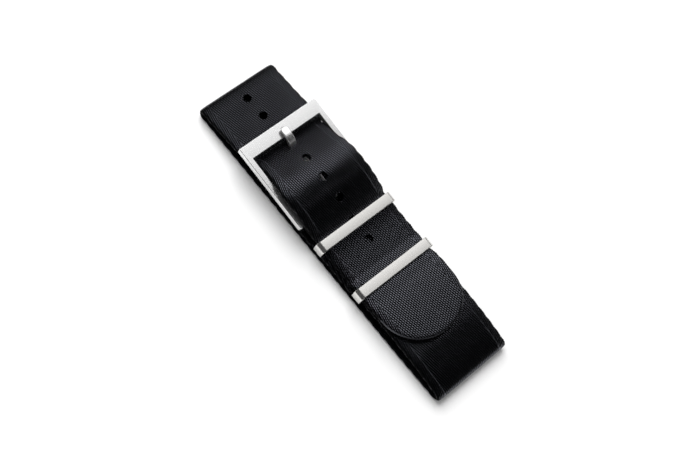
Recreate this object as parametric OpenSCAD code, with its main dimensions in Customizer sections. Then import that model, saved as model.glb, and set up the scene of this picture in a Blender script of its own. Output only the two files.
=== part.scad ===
// Nylon watch strap, closed on its buckle and laid flat on a table.
// X runs along the strap, from the fold by the buckle to the fold by the tip.
// Y runs across the webbing. Z is up, and the table is at zero.

/* [Webbing] */
// Width of the webbing
web_w = 20; // [18:0.5:24]
// Thickness of one layer of webbing
web_t = 1.1; // [0.9:0.05:1.3]
// Length of the closed strap, from fold to fold
loop_len = 82; // [80:1:96]
// Space between the two layers inside the fold by the buckle
front_fold_gap = 0.75; // [0.4:0.05:1.2]
// Space between the two layers inside the fold by the tip
rear_fold_gap = 0.95; // [0.5:0.05:1.4]
// Distance from the rear keeper to the rounded tip
tip_reach = 17.3; // [14:0.5:20]
// Rise of the free end where it springs up behind the rear keeper
tip_rise = 0.8; // [0.5:0.1:1.4]
// Rise of the webbing between the front fold and the buckle
front_rise = 0.8; // [0.4:0.1:1.2]

/* [Holes] */
// Diameter of a punched hole
hole_d = 2; // [1.6:0.1:2.6]
// Distance from hole to hole
hole_pitch = 5.45; // [5:0.05:6]
// Holes behind the one that the tongue is in
rear_holes = 5; // [3:1:5]
// Distance from the tongue's hole to the first hole in front of the buckle
front_hole_gap = 8.5; // [8:0.1:9]

/* [Buckle] */
// Distance from the middle of the strap back to the hinge bar
bar_back = 8; // [7:0.25:9]
// Distance from the hinge bar to the outer edge of the front bar
frame_reach = 19.5; // [18.5:0.25:20.5]
// Width of the front bar, along the strap
front_bar_w = 3.4; // [2.8:0.1:3.8]
// Width of a side rail
rail_w = 1.3; // [1.1:0.05:1.7]
// Thickness of the frame
frame_t = 1.7; // [1.4:0.1:2]
// Length of a rail behind the hinge bar
rail_tail = 2.2; // [1.6:0.1:2.4]
// How far the webbing is wider than the opening of the frame
squeeze = 1.1; // [0.6:0.1:1.6]
// Slope of the frame, front end up
frame_tilt = 4.7; // [4:0.1:5.2]
// Radius of the frame's front corners
corner_r = 0.6; // [0.3:0.1:1]
// Height of the loop under the hinge bar above the lowest layer
bar_lift = 1.5; // [1.3:0.05:1.8]
// Chamfer along the frame's upper edges
frame_edge = 0.22; // [0.1:0.02:0.4]

/* [Tongue] */
// Width of the tongue
tongue_w = 1.8; // [1.4:0.1:2]
// Height of the tongue's section
tongue_t = 1; // [0.8:0.05:1.1]
// Wall of the eye that turns on the hinge bar
eye_wall = 0.55; // [0.4:0.05:0.6]
// How far the tip reaches over the front bar
tip_over = 2.2; // [1.6:0.1:2.6]

/* [Hinge bar] */
// Outer diameter of the tube
bar_d = 1.4; // [1.3:0.05:1.6]
// Wall of the tube
bar_wall = 0.225; // [0.18:0.005:0.26]
// Length of the closed end of the tube
bar_cap = 0.4; // [0.3:0.05:0.6]
// Diameter of a plunger's tip
pin_d = 0.72; // [0.6:0.02:0.76]
// How deep a tip stands in its rail
pin_depth = 0.8; // [0.6:0.05:0.9]
// Length of a plunger's stem inside the tube
stem_len = 2.6; // [2:0.1:4]
// Wall of the spring's coil
spring_wall = 0.13; // [0.1:0.01:0.16]

/* [Keepers] */
// Width of a keeper, along the strap
keeper_w = 2.5; // [2:0.1:3]
// Thickness of a keeper's upper side
keeper_top = 0.8; // [0.6:0.05:1]
// Thickness of a keeper's under side
keeper_floor = 0.65; // [0.5:0.05:0.8]
// Thickness of a keeper's ends
keeper_side = 0.7; // [0.5:0.05:1]
// Outer corner radius of a keeper
keeper_r = 1.3; // [0.8:0.1:1.6]
// Distance from the hinge bar to the front keeper
keeper_back = 8; // [7.8:0.1:9]
// Distance between the keepers
keeper_pitch = 13; // [11:0.5:14]

/* [Sewing] */
// Width of a stitch's thread
thread_w = 0.28; // [0.2:0.02:0.4]
// Thickness of a stitch's thread
thread_t = 0.14; // [0.1:0.01:0.18]
// Length of a stitch
stitch_len = 1.25; // [0.8:0.05:1.4]
// Distance from stitch to stitch
stitch_pitch = 1.7; // [1.6:0.05:2.4]
// Distance between the two rows of stitches
row_pitch = 1.1; // [0.8:0.05:1.2]

/* [Clearances] */
// Gap between two layers that lie on each other
lay_gap = 0.08; // [0.05:0.01:0.12]
// Gap under the free end, where it springs up
end_gap = 0.24; // [0.15:0.01:0.3]
// Gap between the webbing's edges and what it passes through
edge_gap = 0.12; // [0.08:0.01:0.2]
// Radial gap of the webbing's loop on the hinge bar
loop_fit = 0.05; // [0.03:0.01:0.08]
// Radial gap of the eye on the tube, and of a tip in its hole
turn_fit = 0.03; // [0.02:0.005:0.05]
// Gap between the tongue's tip and the front bar
rest_gap = 0.06; // [0.04:0.01:0.1]
// Gap between the tongue and the webbing above it
tongue_gap = 0.56; // [0.5:0.02:0.7]

/* [Hidden] */
$fn = 48;

// Places along the strap
bar_x = -bar_back;
keeper_x = bar_x + keeper_back;
rear_keeper_x = keeper_x + keeper_pitch;
tip_x = rear_keeper_x + tip_reach;
front_x = bar_x - frame_reach;
front_inner_x = front_x + front_bar_w;
front_fold_r = (web_t + front_fold_gap) / 2;
rear_fold_r = (web_t + rear_fold_gap) / 2;
front_fold_x = -loop_len / 2 + web_t / 2 + front_fold_r;
rear_fold_x = loop_len / 2 - web_t / 2 - rear_fold_r;

// Heights of the middle of each layer
half_t = web_t / 2;
step = web_t + lay_gap;
floor_z = half_t;
keeper_bottom = web_t + lay_gap;
main_z = keeper_bottom + keeper_floor + lay_gap + half_t;
tail_z = main_z + step;
keeper_roof = tail_z + half_t + lay_gap;
crest_z = main_z + tip_rise;
end_z = crest_z + web_t + end_gap;

// The hinge bar and the loop that goes round it
loop_r = bar_d / 2 + loop_fit + half_t;
loop_out = loop_r + half_t;
bar_z = web_t + bar_lift + web_t + loop_fit + bar_d / 2;
over_z = bar_z + loop_out + lay_gap + half_t;

// The buckle's frame, which slopes down from its front bar
open_w = web_w - squeeze;
out_w = open_w + 2 * rail_w;
slope = tan(frame_tilt);
half_rise = frame_t / 2 / cos(frame_tilt);
function frame_top(x) = bar_z + half_rise - (x - bar_x) * slope;
function frame_under(x) = frame_top(x) - 2 * half_rise;
inner_under_z = frame_under(front_inner_x) - lay_gap - half_t;

// The sewn end lies flat on the layer below it
sewn_x = bar_x + 2.4;
sewn_end_x = bar_x + 4.7;
sewn_low_z = web_t + 0.4 + half_t;
sewn_high_z = sewn_low_z + step;
narrow_w = open_w - 2 * edge_gap;

// A smooth curve through knots whose x only grows, which never swings past them
function rise(k, i) = (k[i + 1][1] - k[i][1]) / (k[i + 1][0] - k[i][0]);
function even(a, b) = a * b <= 0 ? 0 : 2 * a * b / (a + b);
function lean(k, i) = i == 0 || i == len(k) - 1 ? 0 : even(rise(k, i - 1), rise(k, i));
function blend(k, i, u) = let (
        h = k[i + 1][0] - k[i][0],
        z = (2 * u * u * u - 3 * u * u + 1) * k[i][1] + (3 * u * u - 2 * u * u * u) * k[i + 1][1]
            + (u * u * u - 2 * u * u + u) * h * lean(k, i) + (u * u * u - u * u) * h * lean(k, i + 1)
    ) [k[i][0] + u * h, z];
function steps(k, i) = abs(k[i + 1][1] - k[i][1]) < 0.001 ? 1 : 3;
function curve(k) = [
    for (i = [0 : len(k) - 2]) for (j = [0 : steps(k, i) - 1]) blend(k, i, j / steps(k, i)),
    k[len(k) - 1]
];
function knot(k, x) = max([for (i = [0 : len(k) - 2]) if (k[i][0] <= x) i]);
function at(k, x) = let (i = knot(k, x)) blend(k, i, (x - k[i][0]) / (k[i + 1][0] - k[i][0]));
function turn(k, x) = let (a = at(k, x - 0.1), b = at(k, x + 0.1)) atan2(b[1] - a[1], b[0] - a[0]);
function flip(p) = [for (i = [len(p) - 1 : -1 : 0]) p[i]];
function arc(c, r, a, b, n) = [for (i = [0 : n]) c + r * [cos(a + (b - a) * i / n), sin(a + (b - a) * i / n)]];

// The upper run: from the front fold, under the front bar, over the hinge bar,
// through both keepers and out to the tip
front_top_z = floor_z + 2 * front_fold_r;
tail_knots = [
    [front_fold_x, front_top_z],
    [front_fold_x + 1.5, front_top_z + 0.02],
    [front_x - 7, front_top_z + 0.5 * front_rise],
    [front_x - 1.5, front_top_z + 1.35 * front_rise],
    [(front_x + front_inner_x) / 2, inner_under_z - 0.15],
    [front_inner_x + 0.1, inner_under_z - 0.02],
    [front_inner_x + 1.7, inner_under_z + 0.85],
    [bar_x - 12, over_z - 0.95],
    [bar_x - 9.5, over_z - 0.23],
    [bar_x - 7.5, over_z + 0.28],
    [bar_x - 5.6, over_z + 0.44],
    [bar_x - 3.5, over_z + 0.36],
    [bar_x - 1.5, over_z + 0.2],
    [bar_x, over_z + 0.05],
    [bar_x + 1.4, over_z - 0.36],
    [bar_x + 3, over_z - 1.3],
    [keeper_x - keeper_w / 2 - 2, tail_z + 1.1],
    [keeper_x - keeper_w / 2 - 0.9, tail_z + 0.3],
    [keeper_x - keeper_w / 2 - 0.1, tail_z],
    [rear_keeper_x + keeper_w / 2 + 0.15, tail_z],
    [rear_keeper_x + keeper_w / 2 + 3.2, end_z - 0.1],
    [rear_keeper_x + keeper_w / 2 + 7, end_z],
    [tip_x, end_z - 0.02]
];

// The lower run: back from the rear fold, under the free end and through both keepers
main_knots = [
    [sewn_x - 2.4, bar_z - loop_r * 0.92],
    [sewn_x - 0.2, sewn_low_z],
    [sewn_end_x + 0.1, sewn_low_z],
    [keeper_x - keeper_w / 2 - 0.1, main_z],
    [rear_keeper_x + keeper_w / 2 + 0.15, main_z],
    [rear_keeper_x + keeper_w / 2 + 5.5, crest_z - 0.2],
    [tip_x - 2, crest_z],
    [tip_x + 2, crest_z - 0.15],
    [rear_fold_x - 3, floor_z + 2 * rear_fold_r + 0.1],
    [rear_fold_x, floor_z + 2 * rear_fold_r]
];

// Where the loop leaves the lower layer, and where it comes back down behind the bar
loop_in = -112;
loop_off = -322;
loop_path = arc([bar_x, bar_z], loop_r, loop_in, loop_off, 14);
sewn_path = [
    [sewn_x - 0.55, sewn_high_z + 0.75],
    [sewn_x - 0.2, sewn_high_z + 0.25],
    [sewn_x + 0.25, sewn_high_z],
    [sewn_end_x, sewn_high_z]
];

web_path = concat(
    flip(curve(tail_knots)),
    arc([front_fold_x, floor_z + front_fold_r], front_fold_r, 105, 270, 11),
    arc([rear_fold_x, floor_z + rear_fold_r], rear_fold_r, 270, 435, 11),
    flip([for (p = curve(main_knots)) if (p[0] > sewn_x - 2.35) p]),
    loop_path,
    sewn_path
);

// A strip of even thickness along a path
function side_of(p, i) = let (
        a = p[max(i - 1, 0)],
        b = p[min(i + 1, len(p) - 1)],
        d = (b - a) / norm(b - a)
    ) [-d[1], d[0]];
function strip(p, h) = concat(
    [for (i = [0 : len(p) - 1]) p[i] + h * side_of(p, i)],
    flip([for (i = [0 : len(p) - 1]) p[i] - h * side_of(p, i)])
);

// Draws an XZ outline and gives it a width across the strap
module across(w) {
    rotate([90, 0, 0])
        linear_extrude(height = w, center = true)
            children();
}

// One punched hole through the upper run
module punch(x, z, tilt, reach) {
    translate([x, 0, z])
        rotate([0, -tilt, 0])
            cylinder(d = hole_d, h = reach, center = true);
}

// Holes: the row behind the tongue, two in front of the buckle and two under the fold
tongue_hole_x = front_inner_x + 1.25;
tongue_slot = 3.5;
tongue_slot_x = tongue_hole_x + 0.95;
module holes() {
    reach = web_t + front_fold_gap * 0.8;
    for (i = [1 : rear_holes]) {
        x = tongue_hole_x + i * hole_pitch;
        punch(x, at(tail_knots, x)[1], turn(tail_knots, x), web_t + lay_gap);
    }
    for (i = [0 : 1]) {
        x = tongue_hole_x - front_hole_gap - i * hole_pitch;
        punch(x, at(tail_knots, x)[1], turn(tail_knots, x), reach);
    }
    for (i = [0 : 1]) {
        punch(front_fold_x + 0.9 + i * hole_pitch, floor_z, 0, reach);
    }
}

// The tongue's own hole, pulled long by the tongue
module tongue_slot() {
    slot_w = tongue_w + 2 * edge_gap + 0.1;
    x = tongue_slot_x;
    translate([x, 0, at(tail_knots, x)[1]])
        rotate([0, -turn(tail_knots, x), 0])
            linear_extrude(height = web_t + 0.7, center = true) {
                square([tongue_slot - slot_w, slot_w], center = true);
                for (s = [-1, 1]) {
                    translate([s * (tongue_slot - slot_w) / 2, 0])
                        circle(d = slot_w);
                }
            }
}

// What a half round end, pointing along +X, leaves off
module round_end(r, h) {
    linear_extrude(height = h)
        difference() {
            translate([0, -r - 1])
                square([r + 1, 2 * r + 2]);
            circle(r = r, $fn = 96);
        }
}

// What the rounded tip leaves off the free end
module tip_cut() {
    translate([tip_x - web_w / 2, 0, (crest_z + end_z) / 2])
        round_end(web_w / 2, 3 * web_t);
}

// What is squeezed in where the upper run goes through the frame
module frame_waist() {
    cut = (web_w - narrow_w) / 2;
    far = bar_x - 7.4;
    for (s = [-1, 1]) {
        scale([1, s, 1])
            translate([0, 0, web_t + 0.25])
                linear_extrude(height = over_z + web_t)
                    polygon([
                        [front_x - 2.2, web_w / 2 + 0.001],
                        [front_x - 0.2, web_w / 2 - cut],
                        [far - 1.2, web_w / 2 - cut],
                        [far, web_w / 2 + 0.001],
                        [far, web_w / 2 + 1],
                        [front_x - 2.2, web_w / 2 + 1]
                    ]);
    }
}

// The loop and the sewn end are narrower, to pass between the rails
module loop_waist() {
    gap_z = (sewn_low_z + sewn_high_z) / 2;
    for (s = [-1, 1]) {
        translate([0, s * (narrow_w + web_w) / 2, 0])
            across(web_w)
                polygon([
                    [bar_x - loop_out - 0.5, web_t + 0.2],
                    [bar_x + 0.7, web_t + 0.2],
                    [sewn_x - 0.4, gap_z],
                    [sewn_end_x + 0.3, gap_z],
                    [sewn_end_x + 0.3, sewn_high_z + half_t + 0.1],
                    [sewn_x + 0.8, sewn_high_z + half_t + 0.35],
                    [bar_x + 1.45, bar_z + loop_out * 0.68],
                    [bar_x + 0.6, over_z - half_t - lay_gap * 0.5 - 0.1],
                    [bar_x, over_z - half_t - lay_gap * 0.5],
                    [bar_x - loop_out - 0.5, over_z - half_t - lay_gap * 0.5]
                ]);
    }
}

// The webbing: one band, from the tip round both folds to the sewn loop
module strap_webbing() {
    color([0.05, 0.05, 0.06])
        difference() {
            across(web_w)
                polygon(strip(web_path, half_t));
            tip_cut();
            frame_waist();
            loop_waist();
            holes();
            tongue_slot();
            // Slot in the loop for the tongue's eye
            translate([bar_x, 0, bar_z])
                rotate([90, 0, 0])
                    cylinder(r = loop_out + lay_gap * 0.6, h = tongue_w + 4 * edge_gap, center = true);
        }
}

// Two rows of thread that close the loop behind the hinge bar
module loop_stitching() {
    count = floor((narrow_w - stitch_len - 1) / stitch_pitch / 2);
    middle = (sewn_x + 0.25 + sewn_end_x) / 2;
    color([0.08, 0.08, 0.09])
        for (r = [-1, 1], i = [-count : count]) {
            for (z = [sewn_high_z + half_t, sewn_low_z - half_t - thread_t]) {
                translate([middle + r * row_pitch / 2 - thread_w / 2, i * stitch_pitch - stitch_len / 2, z])
                    cube([thread_w, stitch_len, thread_t]);
            }
        }
}

// Places a child in the frame's own sloping plane, with the hinge bar at its origin
module in_frame() {
    translate([bar_x, 0, bar_z])
        rotate([0, frame_tilt, 0])
            children();
}

// Plan of the frame, drawn in by a margin all round
module frame_plan(margin) {
    reach = frame_reach / cos(frame_tilt);
    r = corner_r - margin;
    w = out_w - 2 * margin;
    x = -reach + margin;
    tail = rail_tail - rail_w / 2;
    difference() {
        union() {
            translate([x, -w / 2 + r])
                square([front_bar_w, w - 2 * r]);
            translate([x + r, -w / 2])
                square([tail - x - r, w]);
            for (s = [-1, 1]) {
                translate([x + r, s * (w / 2 - r)])
                    circle(r = r);
                translate([tail, s * (out_w - rail_w) / 2])
                    circle(d = rail_w - 2 * margin);
            }
        }
        translate([-reach + front_bar_w - margin, -open_w / 2 - margin])
            square([reach + rail_tail, open_w + 2 * margin]);
    }
}

// The frame: a front bar and two rails with blind holes for the plungers
module buckle_frame() {
    color([0.82, 0.82, 0.8])
        in_frame()
            difference() {
                union() {
                    translate([0, 0, -frame_t / 2])
                        linear_extrude(height = frame_t - frame_edge)
                            frame_plan(0);
                    translate([0, 0, frame_t / 2 - frame_edge])
                        linear_extrude(height = frame_edge)
                            frame_plan(frame_edge * 0.6);
                }
                rotate([90, 0, 0])
                    cylinder(d = pin_d + 2 * turn_fit, h = open_w + 2 * pin_depth + 0.1, center = true);
            }
}

// The tongue's route: tip on the front bar, down through its hole, back under the webbing
tongue_h = tongue_t / 2;
tongue_end_x = front_inner_x - tip_over + tongue_h;
tongue_rest = frame_top(front_inner_x - tip_over) + rest_gap + tongue_h;
tongue_under_x = tongue_hole_x + hole_pitch;
tongue_under = at(tail_knots, tongue_under_x)[1] - half_t - tongue_h - tongue_gap;
tongue_knots = [
    [tongue_end_x, tongue_rest],
    [front_inner_x - 0.55, tongue_rest + 0.06],
    [front_inner_x + 0.25, tongue_rest - 0.2],
    [front_inner_x + 1.2, tongue_rest - 1.05],
    [tongue_hole_x + 0.85, tongue_rest - 1.95],
    [tongue_hole_x + 1.7, tongue_under - 0.62],
    [tongue_hole_x + 2.6, tongue_under - 0.94],
    [tongue_hole_x + 3.8, tongue_under - 0.62],
    [tongue_under_x, tongue_under],
    [tongue_under_x + 2.8, tongue_under + 0.16],
    [bar_x - 3, bar_z + 0.75],
    [bar_x - bar_d / 2 - 0.2, bar_z + 0.3]
];
module buckle_tongue() {
    eye_r = bar_d / 2 + turn_fit + eye_wall;
    color([0.84, 0.84, 0.82])
        difference() {
            union() {
                across(tongue_w)
                    polygon(concat(
                        strip(curve(tongue_knots), tongue_h),
                        arc([tongue_end_x, tongue_rest], tongue_h, 262, 98, 6)
                    ));
                across(tongue_w)
                    translate([bar_x, bar_z])
                        circle(r = eye_r);
            }
            translate([front_inner_x - tip_over + tongue_w / 2, 0, bar_z])
                mirror([1, 0, 0])
                    round_end(tongue_w / 2, over_z);
            translate([bar_x, 0, bar_z])
                rotate([90, 0, 0])
                    cylinder(r = bar_d / 2 + turn_fit, h = tongue_w + 2, center = true);
        }
}

// Sizes of the sprung hinge bar
tube_len = open_w - 2 * edge_gap;
bore_d = bar_d - 2 * bar_wall;
stem_d = bore_d - 2 * turn_fit;
stem_out = tube_len / 2 - bar_cap - 0.02;
spring_len = 2 * (stem_out - stem_len) - 0.04;

// Lays a child's Z axis along the hinge bar, pointing to the right side
module on_bar() {
    translate([bar_x, 0, bar_z])
        rotate([-90, 0, 0])
            children();
}

module bar_tube() {
    color([0.7, 0.7, 0.7])
        on_bar()
            difference() {
                cylinder(d = bar_d, h = tube_len, center = true);
                cylinder(d = bore_d, h = tube_len - 2 * bar_cap, center = true);
                cylinder(d = pin_d + 2 * turn_fit, h = tube_len + 1, center = true);
            }
}

// A plunger that stands out of one end of the tube
module plunger() {
    translate([0, 0, stem_out - stem_len])
        cylinder(d = stem_d, h = stem_len);
    cylinder(d = pin_d, h = open_w / 2 + pin_depth - 0.02);
}

module bar_plunger(side) {
    color([0.75, 0.75, 0.75])
        on_bar()
            rotate([side < 0 ? 180 : 0, 0, 0])
                difference() {
                    plunger();
                    translate([0, 0, -1])
                        cylinder(d = bar_d, h = 1 + stem_out - stem_len);
                }
}

module bar_plunger_left() bar_plunger(-1);
module bar_plunger_right() bar_plunger(1);

// The coil spring between the plungers, as the sleeve that it fills
module bar_spring() {
    color([0.6, 0.6, 0.62])
        on_bar()
            difference() {
                cylinder(d = stem_d, h = spring_len, center = true);
                cylinder(d = stem_d - 2 * spring_wall, h = spring_len + 1, center = true);
            }
}

// A rectangle with round corners, from its lower left corner
module round_box(w, h, r) {
    translate([r, 0])
        square([w - 2 * r, h]);
    translate([0, r])
        square([w, h - 2 * r]);
    for (x = [r, w - r], y = [r, h - r]) {
        translate([x, y])
            circle(r = r);
    }
}

// A keeper: a flat steel ring round two layers of webbing
module keeper(x) {
    in_w = web_w + 2 * edge_gap;
    ring_w = in_w + 2 * keeper_side;
    in_h = keeper_roof - keeper_bottom - keeper_floor;
    ring_h = keeper_floor + in_h + keeper_top;
    color([0.84, 0.83, 0.8])
        translate([x - keeper_w / 2, 0, 0])
            rotate([90, 0, 90])
                linear_extrude(height = keeper_w)
                    difference() {
                        translate([-ring_w / 2, keeper_bottom])
                            round_box(ring_w, ring_h, keeper_r);
                        translate([-in_w / 2, keeper_bottom + keeper_floor])
                            square([in_w, in_h]);
                    }
}

module keeper_front() keeper(keeper_x);
module keeper_rear() keeper(rear_keeper_x);

strap_webbing();
loop_stitching();
buckle_frame();
buckle_tongue();
bar_tube();
bar_plunger_left();
bar_plunger_right();
bar_spring();
keeper_front();
keeper_rear();
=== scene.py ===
# %% [markdown]
# # A nylon watch strap, closed on its buckle
#
# The real thing is one long band of black seat belt webbing. It is folded back on itself at both
# ends and lies flat on a table. The band goes round the hinge bar of a steel pin buckle, and its
# free end runs through the buckle, under the front bar and over the hinge bar, and then through
# two steel keepers.
#
# The engineering model already says where everything is, so this lesson dresses it: the camera
# and the light first, then the webbing, the steel and the small parts that nobody sees until the
# strap moves.

# %% Load the fixed frame
import math

import bpy
import bmesh
import numpy as np
from mathutils import Matrix, Vector, geometry


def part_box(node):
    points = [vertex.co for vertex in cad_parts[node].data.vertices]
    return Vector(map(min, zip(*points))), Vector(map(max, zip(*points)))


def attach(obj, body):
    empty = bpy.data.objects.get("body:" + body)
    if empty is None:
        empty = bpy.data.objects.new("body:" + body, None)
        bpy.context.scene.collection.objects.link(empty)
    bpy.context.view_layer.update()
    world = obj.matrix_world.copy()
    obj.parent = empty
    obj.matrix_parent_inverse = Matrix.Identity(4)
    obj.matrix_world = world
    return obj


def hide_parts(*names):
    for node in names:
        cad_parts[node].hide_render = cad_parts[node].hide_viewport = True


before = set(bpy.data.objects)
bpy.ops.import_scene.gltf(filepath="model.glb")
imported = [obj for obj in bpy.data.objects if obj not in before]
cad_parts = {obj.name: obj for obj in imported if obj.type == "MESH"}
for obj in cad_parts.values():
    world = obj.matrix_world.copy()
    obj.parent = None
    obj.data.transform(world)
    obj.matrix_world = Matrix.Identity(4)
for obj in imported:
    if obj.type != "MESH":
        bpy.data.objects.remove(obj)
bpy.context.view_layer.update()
MM = 0.001
print("nodes:", sorted(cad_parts))

# %% [markdown]
# ## The camera
#
# The photograph looks steeply down at the strap, which lies at a slant across the picture. A
# long lens keeps the two edges of the band almost parallel. Three angles turn the camera: round
# the strap, above the table, and about its own line of sight. The picture's middle isn't quite
# on the lens's axis, so the camera has a very small shift.

# %% Camera
PHOTO_WIDTH = 700
PHOTO_HEIGHT = 467
AZIMUTH = math.radians(17.301)
ELEVATION = math.radians(66.048)
ROLL = math.radians(34.475)
DISTANCE = 279.6 * MM
SENSOR_WIDTH = 36.0
FOCAL_PIXELS = 1271.7
AXIS_PIXEL = (349.79, 230.3)


def show(name, data):
    """A new object in the scene."""
    thing = bpy.data.objects.new(name, data)
    bpy.context.scene.collection.objects.link(thing)
    return thing


camera_data = bpy.data.cameras.new("photo_camera")
camera_data.sensor_width = SENSOR_WIDTH
camera_data.lens = SENSOR_WIDTH * FOCAL_PIXELS / PHOTO_WIDTH
camera_data.shift_x = (PHOTO_WIDTH / 2 - AXIS_PIXEL[0]) / PHOTO_WIDTH
camera_data.shift_y = (AXIS_PIXEL[1] - PHOTO_HEIGHT / 2) / PHOTO_WIDTH
camera_data.clip_start = 0.01
camera_data.clip_end = 10.0

outwards = math.cos(ELEVATION)
back = Vector((math.sin(AZIMUTH) * outwards, -math.cos(AZIMUTH) * outwards, math.sin(ELEVATION)))
level = Vector((0, 0, 1)).cross(back).normalized()
upward = back.cross(level)
right = level * math.cos(ROLL) + upward * math.sin(ROLL)
above = upward * math.cos(ROLL) - level * math.sin(ROLL)

camera = show("photo_camera", camera_data)
turned = Matrix((right, above, back)).transposed().to_4x4()
camera.matrix_world = Matrix.Translation(back * DISTANCE) @ turned
bpy.context.scene.camera = camera
bpy.context.scene.view_settings.view_transform = "Standard"
print("lens:", round(camera_data.lens, 1), "mm")

# %% [markdown]
# ## Building node trees
#
# Every material and every Geometry Nodes tree below is wired in code. A few small helpers keep
# that readable: one makes a node and sets its properties, one feeds its inputs by name with
# values or other nodes' outputs, and the others add a node for one job and hand back its result.
# A socket knows its tree, so only a helper that is given no socket has to be told the tree.

# %% Node helpers
def add(tree, kind, **properties):
    """A new node with its properties set."""
    node = tree.nodes.new(kind)
    for name, value in properties.items():
        setattr(node, name, value)
    return node


def feed(socket, value):
    """Connects an output to an input, or sets the input to a plain value."""
    if isinstance(value, bpy.types.NodeSocket):
        socket.id_data.links.new(value, socket)
    else:
        socket.default_value = value


def wire(node, **values):
    """Feeds a node's inputs by name, with underscores for the spaces in the names."""
    for name, value in values.items():
        feed(node.inputs[name.replace("_", " ")], value)
    return node


def operate(kind, operation, values):
    """The outputs of a Math or Vector Math node, in the tree that one of its values comes from."""
    tree = next(value.id_data for value in values if isinstance(value, bpy.types.NodeSocket))
    node = add(tree, kind, operation=operation)
    for socket, value in zip(node.inputs, values):
        feed(socket, value)
    return node.outputs


def calc(operation, *values):
    """A Math node's result."""
    return operate("ShaderNodeMath", operation, values)[0]


def vector_math(operation, *values):
    """A Vector Math node's outputs."""
    return operate("ShaderNodeVectorMath", operation, values)


def plus(first, second):
    """The sum of two values."""
    return calc("ADD", first, second)


def times(first, *others):
    """The product of some values."""
    for other in others:
        first = calc("MULTIPLY", first, other)
    return first


def rest_of(share):
    """What a share leaves of 1."""
    return calc("SUBTRACT", 1.0, share)


def ramp(value, low, high, out_low=0.0, out_high=1.0):
    """A smooth step from out_low to out_high while value goes from low to high."""
    node = add(value.id_data, "ShaderNodeMapRange", interpolation_type="SMOOTHSTEP")
    wire(node, From_Min=low, From_Max=high, To_Min=out_low, To_Max=out_high, Value=value)
    return node.outputs["Result"]


def mix_colour(share, first, second):
    """A colour between two others."""
    node = add(share.id_data, "ShaderNodeMix", data_type="RGBA")
    return wire(node, Factor=share, A=first, B=second).outputs["Result"]


def noise(place, scale, detail):
    """A noise texture's outputs."""
    node = add(place.id_data, "ShaderNodeTexNoise", noise_dimensions="3D")
    return wire(node, Vector=place, Scale=scale, Detail=detail).outputs


def attribute(tree, name):
    """The outputs of a node that reads one of the mesh's attributes."""
    return add(tree, "ShaderNodeAttribute", attribute_name=name).outputs


def object_place(tree):
    """The place of a point in its object."""
    return add(tree, "ShaderNodeTexCoord").outputs["Object"]


def new_group(name, inputs, *outputs):
    """An empty shader node group with its sockets, its inputs, and its output node."""
    group = bpy.data.node_groups.new(name, "ShaderNodeTree")
    group.interface.new_socket("Place", in_out="INPUT", socket_type="NodeSocketVector")
    for label, value in inputs.items():
        kind = "NodeSocketFloat" if isinstance(value, float) else "NodeSocketVector"
        socket = group.interface.new_socket(label, in_out="INPUT", socket_type=kind)
        if isinstance(value, float):
            socket.default_value = value
    for label in outputs:
        group.interface.new_socket(label, in_out="OUTPUT", socket_type="NodeSocketFloat")
    return group, add(group, "NodeGroupInput").outputs, add(group, "NodeGroupOutput")


def use_group(tree, group, **values):
    """The outputs of a group's node in a tree, with values for its inputs."""
    return wire(add(tree, "ShaderNodeGroup", node_tree=group), **values).outputs


def new_material(name):
    """A material with an empty tree, its Principled shader and that tree."""
    material = bpy.data.materials.new(name)
    material.use_nodes = True
    tree = material.node_tree
    tree.nodes.clear()
    shader = add(tree, "ShaderNodeBsdfPrincipled")
    wire(add(tree, "ShaderNodeOutputMaterial"), Surface=shader.outputs[0])
    return material, tree, shader


def roughen(shader, height, strength, depth):
    """A bump on a shader, with the depth in millimetres that a height of 1 stands for."""
    bump = add(shader.id_data, "ShaderNodeBump")
    wire(bump, Strength=strength, Distance=depth * MM, Height=height)
    wire(shader, Normal=bump.outputs["Normal"])


# %% [markdown]
# ## The table and the light
#
# The strap was photographed on a white table under a big soft light, which stood on the side of
# the front fold. It makes the steel white, gives the nylon a broad sheen, and leaves a soft
# shadow on the near side. Slopes that face the other way go almost black, because they reflect
# nothing bright.
#
# One lamp does the shadows and doesn't show in reflections. The table is white to the camera and
# a little darker to the light that bounces off it. Far from the strap it glows by itself, so that
# it ends in plain white.

# %% Table
WHITE = (1.0, 1.0, 1.0, 1.0)
BOUNCED_WHITE = (0.7, 0.7, 0.7, 1)
TABLE_REACH = 2.0
TABLE_DROP = 0.02 * MM
GLOW_STARTS = 0.055
GLOW_FULL = 0.11

table_mesh = bpy.data.meshes.new("table")
corners = ((-1, -1), (1, -1), (1, 1), (-1, 1))
table_points = [(x * TABLE_REACH, y * TABLE_REACH, -TABLE_DROP) for x, y in corners]
table_mesh.from_pydata(table_points, [], [(0, 1, 2, 3)])
table = show("table", table_mesh)


def seen_directly(tree):
    """1 for rays that the camera, a reflection or a glass sends, and 0 for bounced light."""
    rays = add(tree, "ShaderNodeLightPath").outputs
    seen = plus(rays["Is Camera Ray"], rays["Is Glossy Ray"])
    return calc("MINIMUM", plus(seen, rays["Is Transmission Ray"]), 1.0)


table_paint, tree, shader = new_material("table_paint")
wire(shader, Base_Color=mix_colour(seen_directly(tree), BOUNCED_WHITE, WHITE))
wire(shader, Roughness=0.9, Specular_IOR_Level=0.0)
from_middle = vector_math("LENGTH", object_place(tree))["Value"]
glow = times(ramp(from_middle, GLOW_STARTS, GLOW_FULL), seen_directly(tree))
wire(shader, Emission_Color=WHITE, Emission_Strength=glow)
table_mesh.materials.append(table_paint)

# %% [markdown]
# The room is painted by direction instead of being built from panels. Bounced light gets an even
# glow. Reflections see one large soft box above the strap's front end, a pale band where the
# table meets the room, and darkness elsewhere, which is what turns the webbing black where it
# slopes down towards its tip. The camera sees plain white.

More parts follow.
